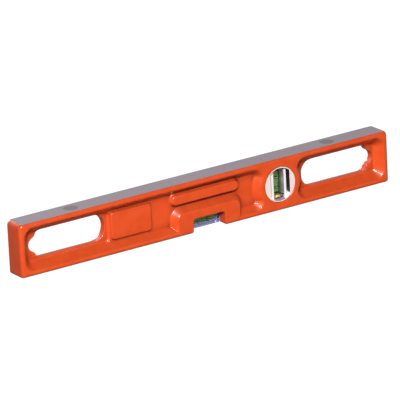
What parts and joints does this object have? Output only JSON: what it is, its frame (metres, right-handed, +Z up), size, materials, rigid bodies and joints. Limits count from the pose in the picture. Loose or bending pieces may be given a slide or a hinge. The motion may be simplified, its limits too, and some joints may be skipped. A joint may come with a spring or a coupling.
{
  "type": "magnetic spirit level",
  "caption": "Cast spirit level with hand holes, magnets in its milled measuring face, a level vial in its lower edge and a plumb vial in a round seat.",
  "frame": {"origin": "middle of the lower edge, on the floor that the level stands on", "axes": "+X along the level towards the plumb vial, +Y from the front with the raised panel to the back, +Z up to the milled measuring face"},
  "size_m": [0.5, 0.028, 0.062],
  "materials": {
    "body": "orange gloss paint on a casting, with the measuring face milled bare",
    "magnet_cup": "ground flush with the measuring face",
    "magnet": "ground flush",
    "clear_block": "clear and polished",
    "vial_liquid": "clear green liquid",
    "ring_line": "black",
    "gasket": "matt",
    "white_plastic": "satin moulded",
    "plumb_plug": "satin moulded",
    "bedding": "set adhesive"
  },
  "bodies": {
    "root": {"level_body": "body", "magnet_cup_left": "magnet_cup", "magnet_cup_right": "magnet_cup", "magnet_core_left": "magnet", "magnet_core_right": "magnet", "level_vial_block": "clear_block", "level_vial_liquid": "vial_liquid", "level_vial_ring_left": "ring_line", "level_vial_ring_right": "ring_line", "level_vial_gasket": "gasket", "level_vial_plug": "white_plastic", "level_vial_bedding": "bedding", "plumb_shell_front": "white_plastic", "plumb_shell_back": "white_plastic", "plumb_vial_carrier": "white_plastic", "plumb_vial_block": "clear_block", "plumb_vial_plug": "plumb_plug", "plumb_vial_liquid": "vial_liquid", "plumb_vial_ring_lower": "ring_line", "plumb_vial_ring_upper": "ring_line"}
  },
  "joints": []
}
